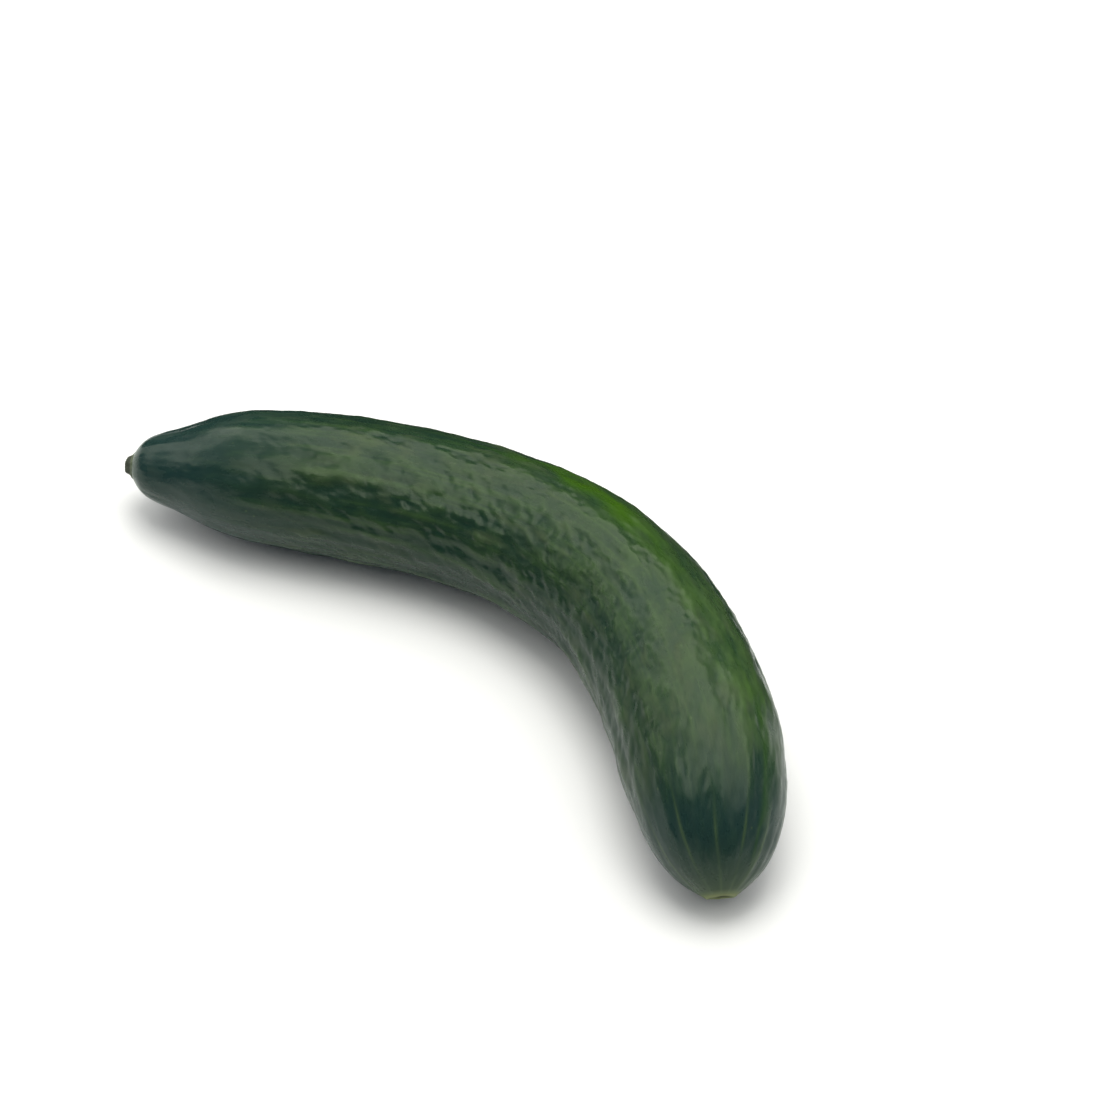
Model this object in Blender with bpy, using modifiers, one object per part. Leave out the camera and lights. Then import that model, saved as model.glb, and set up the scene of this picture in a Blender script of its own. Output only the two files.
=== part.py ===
"""A curved salad cucumber, lying on its underside, with the cut stub of its stalk.

The object is in metres, +Z up. The fruit is turned about its own axis as a straight body and
then bent along the line that it grew on. The frame's origin is on the surface that the fruit
lies on, under the middle of the whole object, and +X runs from the stalk to the blossom end.
"""
import math

import bmesh
import bpy
import numpy as np
from mathutils import Vector

MM = 0.001

# ---------------------------------------------------------------- driving dimensions
# Lengths are in millimetres, and distances run along the fruit's axis from the stalk end.
FRUIT_LENGTH = 287.0
STALK_FACE_RADIUS = 4.7
SCAR_RADIUS = 4.4

# (distance from the stalk end, radius of the fruit there)
GIRTH = [
    (0.0, STALK_FACE_RADIUS),
    (2.0, 8.2),
    (6.0, 10.7),
    (16.0, 14.0),
    (31.0, 19.7),
    (44.0, 22.2),
    (80.0, 23.7),
    (125.0, 24.2),
    (168.0, 25.2),
    (215.0, 25.6),
    (236.0, 25.7),
    (251.0, 24.4),
    (265.0, 21.4),
    (276.0, 16.6),
    (284.0, 9.2),
    (FRUIT_LENGTH, SCAR_RADIUS),
]

BEND_CENTRE = 167.0        # where the fruit curves most
BEND_REACH = 65.0          # how far the bend spreads to each side
BEND_HALF_TURN = 39.0      # degrees from the mean heading to either straight end
NECK_DIP = 4.5             # degrees by which the neck tips down towards the stalk
REST_START = 46.0          # the fruit lies on the surface from here ...
REST_END = 237.0           # ... to here
NOSE_DIP = 26.5            # degrees by which the blossom tip points down
NOSE_DIP_LENGTH = 34.0     # the dip is complete this far past the resting stretch
REST_FLAT_DEPTH = 0.15     # how far the resting side is flattened

STUB_LENGTH = 2.7
STUB_BASE_RADIUS = 4.4
STUB_CUT_RADIUS = 2.9
CUT_HOLLOW = 0.3           # how far the middle of the dry cut has sunk
STUB_GAP = 0.3             # clearance between the stub and the fruit's stalk face

RING_COUNT = 76            # rings along the fruit
RING_SIDES = 36            # sides of each ring
STUB_SIDES = 24
GUIDE_STEP = 1.0           # spacing of the points of the line that the fruit is bent along
GROUND_DEPTH = 20.0        # thickness of the block that flattens the resting side

SKIN_GREEN = (0.022, 0.055, 0.024, 1.0)
SKIN_ROUGHNESS = 0.38
STALK_BROWN = (0.105, 0.112, 0.060, 1.0)
STALK_ROUGHNESS = 0.8


# ---------------------------------------------------------------- the line the fruit grew on
def outline_tangents(widths, slopes):
    """Slopes at an outline's points that keep the curve between them from overshooting."""
    tangents = np.zeros(len(slopes) + 1)
    tangents[0] = slopes[0]
    tangents[-1] = slopes[-1]
    for i in range(1, len(slopes)):
        if slopes[i - 1] * slopes[i] > 0:
            before = 2 * widths[i] + widths[i - 1]
            after = widths[i] + 2 * widths[i - 1]
            tangents[i] = (before + after) / (before / slopes[i - 1] + after / slopes[i])
    return tangents


def radii_at(distances):
    """The fruit's radius at each distance, on a smooth curve through GIRTH."""
    x, y = np.array(GIRTH).T
    widths = np.diff(x)
    tangents = outline_tangents(widths, np.diff(y) / widths)
    span = np.clip(np.searchsorted(x, distances, side="right") - 1, 0, len(widths) - 1)
    width = widths[span]
    t = (distances - x[span]) / width
    return (
        y[span] * (2 * t**3 - 3 * t**2 + 1)
        + width * tangents[span] * (t**3 - 2 * t**2 + t)
        + y[span + 1] * (3 * t**2 - 2 * t**3)
        + width * tangents[span + 1] * (t**3 - t**2)
    )


def axis_rise(distances):
    """Rise of the axis per millimetre: rising neck, level underside, dipping nose."""
    radius_slope = np.gradient(radii_at(distances), distances)
    dip = np.clip((distances - REST_END) / NOSE_DIP_LENGTH, 0, 1)
    dip = dip * dip * (3 - 2 * dip)
    nose_rise = -np.sin(math.radians(NOSE_DIP) * dip)
    neck_rise = math.sin(math.radians(NECK_DIP))
    rise = np.where(distances < REST_START, neck_rise, radius_slope)
    return np.where(distances > REST_END, nose_rise, rise)


def grown_axis(distances):
    """Points of the bent axis, with the stalk end at the start."""
    heading = -np.radians(BEND_HALF_TURN) * np.tanh((distances - BEND_CENTRE) / BEND_REACH)
    rise = axis_rise(distances)
    level = np.sqrt(1 - rise**2)
    directions = np.column_stack([np.cos(heading) * level, np.sin(heading) * level, rise])
    steps = (directions[1:] + directions[:-1]) / 2 * GUIDE_STEP
    return np.vstack([np.zeros(3), np.cumsum(steps, axis=0)])


def turned_level(points, angle):
    """The points turned about the vertical through the start."""
    c, s = math.cos(angle), math.sin(angle)
    return points @ np.array([[c, s, 0], [-s, c, 0], [0, 0, 1]])


def box_middle(points, radii):
    """Middle of the box round the fruit and its stub, seen from above."""
    along = np.gradient(points, axis=0)
    along /= np.linalg.norm(along, axis=1)[:, None]
    reach = radii[:, None] * np.sqrt(1 - along[:, :2] ** 2)
    stub_end = points[0, :2] - along[0, :2] * (STUB_GAP + STUB_LENGTH)
    stub_reach = STUB_CUT_RADIUS * np.sqrt(1 - along[0, :2] ** 2)
    low = np.minimum((points[:, :2] - reach).min(axis=0), stub_end - stub_reach)
    high = np.maximum((points[:, :2] + reach).max(axis=0), stub_end + stub_reach)
    return (low + high) / 2


def placed_axis():
    """The axis in the object's frame: chord along +X, resting side just below z = 0."""
    distances = np.arange(0.0, FRUIT_LENGTH + GUIDE_STEP / 2, GUIDE_STEP)
    points = grown_axis(distances)
    chord = points[-1] - points[0]
    points = turned_level(points, -math.atan2(chord[1], chord[0]))
    radii = radii_at(distances)
    resting = (distances > REST_START) & (distances < REST_END)
    points[:, 2] += np.mean(radii[resting] - points[resting, 2]) - REST_FLAT_DEPTH
    points[:, :2] -= box_middle(points, radii)
    return points


# ---------------------------------------------------------------- modelling helpers
def clear_scene():
    for thing in list(bpy.data.objects):
        bpy.data.objects.remove(thing, do_unlink=True)


def new_collection(name):
    collection = bpy.data.collections.new(name)
    bpy.context.scene.collection.children.link(collection)
    return collection


def plain_material(name, colour, roughness):
    material = bpy.data.materials.new(name)
    material.use_nodes = True
    shader = material.node_tree.nodes["Principled BSDF"]
    shader.inputs["Base Color"].default_value = colour
    shader.inputs["Roughness"].default_value = roughness
    shader.inputs["Metallic"].default_value = 0.0
    return material


def turned_object(name, profile, sides, collection, material):
    """A body turned about local Z. The profile is (radius, height), from the top down."""
    mesh = bpy.data.meshes.new(name)
    corners = [(radius * MM, 0.0, height * MM) for radius, height in profile]
    edges = [(i, i + 1) for i in range(len(corners) - 1)]
    mesh.from_pydata(corners, edges, [])
    mesh.materials.append(material)
    body = bpy.data.objects.new(name, mesh)
    collection.objects.link(body)
    screw = body.modifiers.new("turn", "SCREW")
    screw.axis = "Z"
    screw.steps = sides
    screw.render_steps = sides
    screw.use_merge_vertices = True
    screw.merge_threshold = 0.00001
    screw.use_smooth_shade = True
    return body


def helper_object(name, data, collection):
    """A guide or a cutter, which is no part of the object."""
    helper = bpy.data.objects.new(name, data)
    helper.hide_render = True
    helper.display_type = "WIRE"
    collection.objects.link(helper)
    return helper


def growth_line(points, helpers):
    """The line that the fruit is bent along."""
    line = bpy.data.curves.new("growth_line", "CURVE")
    line.dimensions = "3D"
    line.twist_mode = "Z_UP"
    spline = line.splines.new("POLY")
    spline.points.add(len(points) - 1)
    for spot, point in zip(spline.points, points):
        spot.co = (*(point * MM), 1.0)
    return helper_object("growth_line", line, helpers)


def ground_block(helpers):
    """A block under z = 0, which flattens the side that the fruit lies on."""
    width = 2 * FRUIT_LENGTH * MM
    depth = GROUND_DEPTH * MM
    cube = bmesh.new()
    bmesh.ops.create_cube(cube, size=1.0)
    bmesh.ops.scale(cube, vec=(width, width, depth), verts=cube.verts)
    bmesh.ops.translate(cube, vec=(0, 0, -depth / 2), verts=cube.verts)
    block_mesh = bpy.data.meshes.new("ground_block")
    cube.to_mesh(block_mesh)
    cube.free()
    return helper_object("ground_block", block_mesh, helpers)


# ---------------------------------------------------------------- the pieces
def ring_distances():
    """Rings along the fruit, closer together where it rounds off at its two ends."""
    even = np.linspace(0, 1, RING_COUNT)
    crowded_at_ends = (1 - np.cos(np.pi * even)) / 2
    return FRUIT_LENGTH * (even + crowded_at_ends) / 2


def make_fruit(points, parts, helpers):
    distances = ring_distances()[::-1]
    profile = [(0.0, FRUIT_LENGTH)]
    profile += list(zip(radii_at(distances), distances))
    profile += [(0.0, 0.0)]
    skin = plain_material("green_skin", SKIN_GREEN, SKIN_ROUGHNESS)
    fruit = turned_object("cucumber_fruit", profile, RING_SIDES, parts, skin)

    bend = fruit.modifiers.new("bend", "CURVE")
    bend.object = growth_line(points, helpers)
    bend.deform_axis = "POS_Z"

    rest = fruit.modifiers.new("resting_flat", "BOOLEAN")
    rest.operation = "DIFFERENCE"
    rest.object = ground_block(helpers)


def make_stub(points, parts):
    profile = [
        (0.0, STUB_LENGTH - CUT_HOLLOW),
        (STUB_CUT_RADIUS * 0.7, STUB_LENGTH - CUT_HOLLOW),
        (STUB_CUT_RADIUS * 0.9, STUB_LENGTH),
        (STUB_CUT_RADIUS, STUB_LENGTH - CUT_HOLLOW),
        (STUB_CUT_RADIUS * 1.15, STUB_LENGTH * 0.55),
        (STUB_BASE_RADIUS, STUB_LENGTH * 0.2),
        (STUB_BASE_RADIUS, 0.0),
        (0.0, 0.0),
    ]
    dry_stalk = plain_material("dry_stalk", STALK_BROWN, STALK_ROUGHNESS)
    stub = turned_object("stalk_stub", profile, STUB_SIDES, parts, dry_stalk)
    outward = Vector(points[0] - points[1]).normalized()
    stub.rotation_euler = outward.to_track_quat("Z", "Y").to_euler()
    stub.location = (Vector(points[0]) + outward * STUB_GAP) * MM


def main():
    clear_scene()
    parts = new_collection("cucumber")
    helpers = new_collection("helpers")
    points = placed_axis()
    make_fruit(points, parts, helpers)
    make_stub(points, parts)


main()
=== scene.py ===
# %% [markdown]
# # A curved cucumber, from a plain model to a finished fruit
# The plain model gives one fruit and the cut stub of its stalk, in metres, lying on z = 0.
# It is loaded first and never changed. Every size and place below is taken from it, so the
# finished skin always fits. The box round it is kept, and its size is printed.

# %% Load the plain model
import math

import bpy
import numpy as np
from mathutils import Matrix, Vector
from mathutils.bvhtree import BVHTree


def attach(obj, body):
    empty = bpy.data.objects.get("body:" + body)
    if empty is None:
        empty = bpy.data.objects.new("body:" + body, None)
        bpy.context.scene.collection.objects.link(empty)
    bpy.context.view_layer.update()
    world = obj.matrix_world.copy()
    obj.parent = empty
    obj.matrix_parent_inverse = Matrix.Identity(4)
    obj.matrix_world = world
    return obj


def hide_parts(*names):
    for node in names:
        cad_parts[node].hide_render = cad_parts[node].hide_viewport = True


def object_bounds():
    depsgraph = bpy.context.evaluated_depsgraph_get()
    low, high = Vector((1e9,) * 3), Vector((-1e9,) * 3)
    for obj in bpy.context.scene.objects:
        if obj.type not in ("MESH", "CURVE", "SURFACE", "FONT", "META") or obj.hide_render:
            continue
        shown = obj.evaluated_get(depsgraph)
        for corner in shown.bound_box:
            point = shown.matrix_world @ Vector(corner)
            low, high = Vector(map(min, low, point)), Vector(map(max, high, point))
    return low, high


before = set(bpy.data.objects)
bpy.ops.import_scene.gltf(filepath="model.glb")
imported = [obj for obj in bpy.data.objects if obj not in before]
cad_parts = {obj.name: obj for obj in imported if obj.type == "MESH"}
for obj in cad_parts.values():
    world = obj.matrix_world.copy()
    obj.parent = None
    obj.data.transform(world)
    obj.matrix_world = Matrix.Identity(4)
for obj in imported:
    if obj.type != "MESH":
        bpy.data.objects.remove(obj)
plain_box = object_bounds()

MM = 0.001
UP = Vector((0, 0, 1))
box_size = (plain_box[1] - plain_box[0]) / MM
print("plain model, mm:", [round(side, 1) for side in box_size])

# %% [markdown]
# ## The camera
# Looking from well above and a little to the blossom side shows the bend, the whole top and
# the scar in one view. A long lens from 0.9 m keeps the near end from looking swollen. The
# camera is aimed with a quaternion: a camera looks along its own -Z, with +Y up.

# %% Place the camera
CAMERA_AZIMUTH = 41.07      # degrees round the object, 0 looks along +Y
CAMERA_ELEVATION = 50.0
CAMERA_DISTANCE = 0.9
CAMERA_TARGET = Vector((-0.00814, 0.03504, 0.0))
SENSOR_WIDTH = 36.0
LENS = 88.36

azimuth = math.radians(CAMERA_AZIMUTH)
elevation = math.radians(CAMERA_ELEVATION)
towards_camera = Vector((
    math.sin(azimuth) * math.cos(elevation),
    -math.cos(azimuth) * math.cos(elevation),
    math.sin(elevation),
))
camera_data = bpy.data.cameras.new("view_camera")
camera_data.sensor_width = SENSOR_WIDTH
camera_data.lens = LENS
camera = bpy.data.objects.new("view_camera", camera_data)
camera.location = CAMERA_TARGET + towards_camera * CAMERA_DISTANCE
camera.rotation_euler = (-towards_camera).to_track_quat("-Z", "Y").to_euler()
bpy.context.scene.collection.objects.link(camera)
bpy.context.scene.camera = camera
print("camera at", [round(value, 3) for value in camera.location])

# %% [markdown]
# ## Node helpers
# A material is a small network of nodes. It could be wired by hand, one link at a time, but
# then the recipe is lost among the wires. These helpers add a node, set its plain values and
# connect its inputs in one line, so that the recipes below read from top to bottom.

# %% Make the node helpers
def feed(tree, socket, value):
    """Links an output to the socket, or sets the socket's own value."""
    if isinstance(value, bpy.types.NodeSocket):
        tree.links.new(value, socket)
    else:
        socket.default_value = value


def add_node(tree, kind, *inputs, **values):
    """A new node. A named value is a setting or feeds the input of that name. Inputs without
    a name feed the node's sockets in order."""
    node = tree.nodes.new("ShaderNode" + kind)
    for name, value in values.items():
        if hasattr(node, name):
            setattr(node, name, value)
        else:
            feed(tree, node.inputs[name.replace("_", " ")], value)
    for socket, value in zip(node.inputs, inputs):
        feed(tree, socket, value)
    return node


def read_mark(tree, name, output="Fac"):
    """A value that was stored at every point of the piece."""
    return add_node(tree, "Attribute", attribute_name=name).outputs[output]


def calculate(tree, operation, first, second, clamp=False):
    node = add_node(tree, "Math", first, second, operation=operation, use_clamp=clamp)
    return node.outputs[0]


def blend_colour(tree, factor, low, high):
    """Low where the factor is 0, high where it is 1."""
    node = add_node(tree, "Mix", data_type="RGBA")
    sockets = {socket.name: socket for socket in node.inputs if socket.enabled}
    for name, value in (("Factor", factor), ("A", low), ("B", high)):
        feed(tree, sockets[name], value)
    return next(socket for socket in node.outputs if socket.enabled)


print("node helpers ready")

# %% [markdown]
# ## Masks
# Most of a recipe is masks: values from 0 to 1 that say how much of something there is. They
# could be shaped with colour ramps, which hide their numbers. Three small helpers make them
# from plain numbers instead: a soft step, a weaker mask, and a mask with other limits.

# %% Make the mask helpers
def mask_from(tree, value, low, high, kind="SMOOTHSTEP"):
    """0 where the value is at low, 1 where it is at high, with a soft change between."""
    node = add_node(tree, "MapRange", interpolation_type=kind, Value=value, From_Min=low,
                    From_Max=high)
    return node.outputs["Result"]


def scale_mask(tree, mask, share, clamp=False):
    return calculate(tree, "MULTIPLY", mask, share, clamp)


def mask_between(tree, mask, low, high):
    """Low where the mask is 0, high where it is 1."""
    return calculate(tree, "ADD", scale_mask(tree, mask, high - low), low)


def new_material(name):
    """A material, its tree of nodes and its Principled shader."""
    material = bpy.data.materials.new(name)
    material.use_nodes = True
    return material, material.node_tree, material.node_tree.nodes["Principled BSDF"]


def place_mesh(name, points, faces):
    """A new object in the scene, from its points and the corners of its faces."""
    mesh = bpy.data.meshes.new(name)
    mesh.from_pydata(points, [], faces)
    thing = bpy.data.objects.new(name, mesh)
    bpy.context.scene.collection.objects.link(thing)
    return thing


print("mask helpers ready")

# %% [markdown]
# ## The floor
# The floor has two colours, one that the camera sees and a slightly darker one for the light
# that it sheds, so the ground stays pale and the skin deep. A floor alone would show its own
# far corner as a grey wedge. So with distance it turns into the plain white of the room, for
# the camera only, and has no visible end.

# %% Lay the floor
FLOOR_REACH = 1.6
FLOOR_DROP = 0.00005        # the floor lies just under the fruit, so the two don't flicker
FLOOR_SEEN = (0.80, 0.812, 0.85, 1.0)    # cool enough to look neutral under the warm light
FLOOR_BOUNCE = (0.72, 0.76, 0.77, 1.0)
FLOOR_ROUGHNESS = 0.9
FLOOR_SPECULAR = 0.1
WHITE_FROM, WHITE_TO = 0.35, 0.75        # metres from the fruit
BACKDROP = (1.0, 1.0, 1.0, 1.0)


def by_camera(tree):
    """1 for the camera's own rays, 0 for every other ray."""
    return add_node(tree, "LightPath").outputs["Is Camera Ray"]


floor_finish, tree, shader = new_material("pale_floor")
shader.inputs["Roughness"].default_value = FLOOR_ROUGHNESS
shader.inputs["Specular IOR Level"].default_value = FLOOR_SPECULAR
feed(tree, shader.inputs["Base Color"],
     blend_colour(tree, by_camera(tree), FLOOR_BOUNCE, FLOOR_SEEN))
place = add_node(tree, "NewGeometry").outputs["Position"]
distance = add_node(tree, "VectorMath", place, operation="LENGTH").outputs["Value"]
far_and_seen = calculate(tree, "MULTIPLY", mask_from(tree, distance, WHITE_FROM, WHITE_TO),
                         by_camera(tree))
white = add_node(tree, "Emission", Color=BACKDROP)
ground = add_node(tree, "MixShader", far_and_seen, shader.outputs[0], white.outputs[0])
feed(tree, tree.nodes["Material Output"].inputs["Surface"], ground.outputs[0])

floor_corners = [(x * FLOOR_REACH, y * FLOOR_REACH, -FLOOR_DROP)
                 for x, y in ((-1, -1), (1, -1), (1, 1), (-1, 1))]
floor = place_mesh("pale_floor", floor_corners, [(0, 1, 2, 3)])
floor.data.materials.append(floor_finish)
print("floor", 2 * FLOOR_REACH, "m wide")

# %% [markdown]
# ## The lights
# Dark, waxy skin shows mostly what it reflects, so the lights are shaped for their mirror
# images. One big even light would give one even stripe. Here five panes hang level above the
# fruit: a window on the stalk side in three parts and a ceiling in two, each as bright as the
# sheen that it makes. The gap over the near right leaves the dark band under the sheen. An
# upright wall pane brightens the neck. A small light straight above is kept out of
# reflections: it only brightens the colours and gives the floor its tight shadow.

# %% Hang the soft boxes
LIGHT_COLOUR = (1.0, 0.98, 0.89)
# name: (size across, size deep, place, tilt, watts per square metre, shows in reflections)
SOFTBOXES = {
    "window_left_pane": (1.50, 3.40, (-2.45, -0.70, 1.25), 0, 6.2, True),
    "window_near_pane": (1.15, 1.30, (-1.125, -0.55, 1.25), 0, 1.8, True),
    "window_far_pane": (1.15, 1.56, (-1.125, 0.88, 1.25), 0, 7.0, True),
    "ceiling_left_pane": (0.67, 2.96, (-0.215, 0.18, 1.25), 0, 7.9, True),
    "ceiling_right_pane": (1.53, 1.81, (0.885, 0.755, 1.25), 0, 6.6, True),
    "wall_pane": (1.20, 2.20, (-3.30, 0.50, 0.62), -90, 3.0, True),
    "top_light": (0.70, 0.70, (-0.05, 0.15, 1.30), 0, 16.0, False),
}
CLOUD_SCALE = 5.0
CLOUD_NOISE = (0.35, 0.65)  # the part of the noise's range that is used
CLOUD_LEVEL = (0.45, 1.55)  # the darkest and the brightest spots of a pane


def cloud_light(light_data):
    """Makes the light's face softly uneven, as a real diffuser or a cloudy window is."""
    light_data.use_nodes = True
    tree = light_data.node_tree
    face = add_node(tree, "NewGeometry").outputs["Parametric"]
    cloud = add_node(tree, "TexNoise", Vector=face, Scale=CLOUD_SCALE, Detail=1.0)
    level = add_node(tree, "MapRange", cloud.outputs[0], *CLOUD_NOISE, *CLOUD_LEVEL)
    feed(tree, tree.nodes["Emission"].inputs["Strength"], level.outputs["Result"])


for name, (across, deep, spot, tilt, brightness, mirrored) in SOFTBOXES.items():
    box_data = bpy.data.lights.new(name, "AREA")
    box_data.shape = "RECTANGLE"
    box_data.size, box_data.size_y = across, deep
    box_data.energy = brightness * across * deep
    box_data.color = LIGHT_COLOUR
    cloud_light(box_data)
    box = bpy.data.objects.new(name, box_data)
    box.location = spot
    box.rotation_euler.y = math.radians(tilt)
    box.visible_glossy = mirrored
    bpy.context.scene.collection.objects.link(box)
    print(name, across, "x", deep, "m,", round(box_data.energy, 1), "W")

# %% [markdown]
# ## The room
# Where no pane hangs, the skin mirrors the room. If the room were as white as it looks, the
# fruit would turn grey, so the world too has two colours: white for the camera and a dim,
# cool one for every other ray. Standard keeps a plain white background plain white.

# %% Set the room
SURROUND = (0.050, 0.062, 0.080, 1.0)

world = bpy.data.worlds.new("pale_room")
world.use_nodes = True
bpy.context.scene.world = world
room = world.node_tree
feed(room, room.nodes["Background"].inputs["Color"],
     blend_colour(room, by_camera(room), SURROUND, BACKDROP))
bpy.context.scene.view_settings.view_transform = "Standard"
print("room set:", world.name)

# %% [markdown]
# ## The line that the fruit grew along
# The finished skin is a fine net wrapped round the fruit's own axis, so the axis comes first.
# Feeling for it from inside the plain model goes wrong at the blunt nose, where a small tilt
# shifts every measured middle. So the line is given by points from the plain model's making,
# one every 15 mm, with a smooth curve through them. Rays then check that it really runs
# through the middle of the plain model.

# %% Draw the growth line
# (distance from the stalk's face, x, y, z), all in mm
GROWTH_LINE = [
    (0, -125.91, -39.80, 18.59), (15, -113.14, -32.01, 19.77), (30, -100.33, -24.29, 20.95),
    (45, -87.45, -16.69, 22.12), (60, -74.45, -9.27, 22.98), (75, -61.27, -2.13, 23.45),
    (90, -47.85, 4.58, 23.70), (105, -34.12, 10.60, 23.84), (120, -20.00, 15.64, 23.98),
    (135, -5.46, 19.28, 24.25), (150, 9.42, 21.10, 24.66), (165, 24.39, 20.74, 25.01),
    (180, 39.13, 18.06, 25.19), (195, 53.31, 13.20, 25.32), (210, 66.75, 6.55, 25.42),
    (225, 79.41, -1.48, 25.51), (240, 91.42, -10.46, 25.52), (255, 102.82, -20.00, 23.82),
    (270, 113.14, -29.32, 18.28), (287, 124.17, -39.80, 10.70),
]
FRAME_STEP = 1.0            # mm, used to take directions along the line
line_table = np.array(GROWTH_LINE, float)
fruit_length = line_table[-1, 0]


def curve_through(marks, values, wanted):
    """A curve with no kinks through the values, continued straight past both ends."""
    widths = np.diff(marks)
    slopes = np.diff(values) / widths
    count = len(marks)
    matrix = np.eye(count)
    right = np.zeros(count)
    for i in range(1, count - 1):
        matrix[i, i - 1:i + 2] = widths[i - 1], 2 * (widths[i - 1] + widths[i]), widths[i]
        right[i] = 6 * (slopes[i] - slopes[i - 1])
    bending = np.linalg.solve(matrix, right)
    inside = np.clip(wanted, marks[0], marks[-1])
    span = np.clip(np.searchsorted(marks, inside, side="right") - 1, 0, count - 2)
    width, t = widths[span], inside - marks[span]
    start_slope = slopes[span] - width * (2 * bending[span] + bending[span + 1]) / 6
    curve = (values[span] + start_slope * t + bending[span] / 2 * t ** 2
             + (bending[span + 1] - bending[span]) / (6 * width) * t ** 3)
    end_slope = start_slope + bending[span] * t + (bending[span + 1] - bending[span]) / (
        2 * width) * t ** 2
    return curve + (wanted - inside) * end_slope


def axis_at(distances):
    """Axis points, in metres, at distances in mm from the stalk's face."""
    marks = line_table[:, 0]
    return np.column_stack([curve_through(marks, line_table[:, k], distances)
                            for k in (1, 2, 3)]) * MM


def axis_frames(distances):
    """Along, outward and upward directions at those distances."""
    along = axis_at(distances + FRAME_STEP) - axis_at(distances - FRAME_STEP)
    along /= np.linalg.norm(along, axis=1)[:, None]
    outward = np.cross(np.array(UP), along)
    outward /= np.linalg.norm(outward, axis=1)[:, None]
    return along, outward, np.cross(along, outward)


print("fruit length along its axis, mm:", fruit_length)

# %% [markdown]
# ## The fruit's profile, from rim to rim
# The girth isn't typed in: rays from the axis measure it. Each ring of rays gives the circle
# that fits the section, so its middle also shows how well the line is centred. The plain
# model has flat facets, so neighbouring radii are averaged. Rows of the net are spaced evenly
# along the skin, not along the axis, so the round nose gets as many as it needs.

# %% Measure the profile
FEELERS = 48
FEELING_PLACES = 360
EDGE = 0.4                  # mm from either end face, where the first and last rings lie
GIRTH_SPREAD = 2.2          # how many neighbouring rings are averaged
BODY_ROWS = 370


def plain_surface(node):
    """A plain node's surface, ready to be met by rays."""
    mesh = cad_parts[node].data
    corners = [vertex.co for vertex in mesh.vertices]
    return BVHTree.FromPolygons(corners, [face.vertices for face in mesh.polygons])


def section(surface, place, outward, upward):
    """Distance of the section's middle from the place, and its radius, in mm."""
    hits = []
    for turn in np.linspace(0, math.tau, FEELERS, endpoint=False):
        direction = Vector(outward * math.cos(turn) + upward * math.sin(turn))
        reach = surface.ray_cast(Vector(place), direction)[3] / MM
        hits.append((reach * math.cos(turn), reach * math.sin(turn)))
    x, y = np.array(hits).T
    terms = np.column_stack([x, y, np.ones_like(x)])
    a, b, c = np.linalg.lstsq(terms, x * x + y * y, rcond=None)[0]
    return math.hypot(a, b) / 2, math.sqrt(c + (a * a + b * b) / 4)


def path_lengths(points):
    steps = np.linalg.norm(np.diff(points, axis=0), axis=1)
    return np.concatenate([[0], np.cumsum(steps)])


def spread_average(values, spread):
    """Each value averaged with its neighbours, weighted by a bell of that spread."""
    reach = int(4 * spread)
    weights = np.exp(-0.5 * (np.arange(-reach, reach + 1) / spread) ** 2)
    padded = np.pad(values, reach, mode="reflect", reflect_type="odd")
    return np.convolve(padded, weights / weights.sum(), mode="valid")


fruit_surface = plain_surface("cucumber_fruit")
felt_marks = np.linspace(EDGE, fruit_length - EDGE, FEELING_PLACES)
_, felt_outward, felt_upward = axis_frames(felt_marks)
felt = np.array([section(fruit_surface, *ring)
                 for ring in zip(axis_at(felt_marks), felt_outward, felt_upward)])
felt_radii = spread_average(felt[:, 1], GIRTH_SPREAD)
skin_lengths = path_lengths(np.column_stack([felt_marks, felt_radii]))
even = np.linspace(0, skin_lengths[-1], BODY_ROWS)
body_marks = np.interp(even, skin_lengths, felt_marks)
body_radii = np.interp(even, skin_lengths, felt_radii)
ROW_STEP = even[1]
print("line off centre by at most", round(felt[:, 0].max(), 3), "mm")
print("row step", round(ROW_STEP, 2), "mm, widest radius", round(body_radii.max(), 2), "mm")

# %% [markdown]
# ## A dark card behind the fruit
# Alone on a white floor, the far rim of the fruit would mirror the floor as a bright line. In
# a studio a dark card stands behind dark, glossy things for this. It is hidden from the
# camera and casts no shadow: only reflections meet it, so it just cuts the glare.

# %% Stand the card behind the bend
CARD_FROM, CARD_TO = -70.0, 222.0
CARD_POSTS = 50
CARD_DISTANCE = 62.0        # mm from the axis
CARD_HEIGHT = 0.075
CARD_GREEN = (0.012, 0.022, 0.014, 1.0)

card_marks = np.linspace(CARD_FROM, CARD_TO, CARD_POSTS)
_, card_outward, _ = axis_frames(card_marks)
card_line = axis_at(card_marks) + card_outward * CARD_DISTANCE * MM
card_line[:, 2] = 0.0
card_top = card_line + [0, 0, CARD_HEIGHT]
card = place_mesh("dark_card", np.vstack([card_line, card_top]).tolist(),
                  [(i, i + 1, CARD_POSTS + i + 1, CARD_POSTS + i)
                   for i in range(CARD_POSTS - 1)])
card_finish, tree, shader = new_material("dark_card")
shader.inputs["Base Color"].default_value = CARD_GREEN
shader.inputs["Roughness"].default_value = 1.0
card.data.materials.append(card_finish)
card.visible_camera = card.visible_diffuse = card.visible_shadow = False
card.visible_transmission = card.visible_volume_scatter = False
print("card", round(CARD_HEIGHT / MM), "mm high")

# %% [markdown]
# ## Seeded waves for the skin
# The skin's relief is drawn in the unrolled sheet: rows along the fruit, columns round it.
# Random values are filtered so that only waves of one length and one width stay, which gives
# direct control of the size of a wrinkle in millimetres. A slant turns the waves off the
# axis. The columns wrap, so there is no seam, and the seed keeps every run the same.

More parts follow.
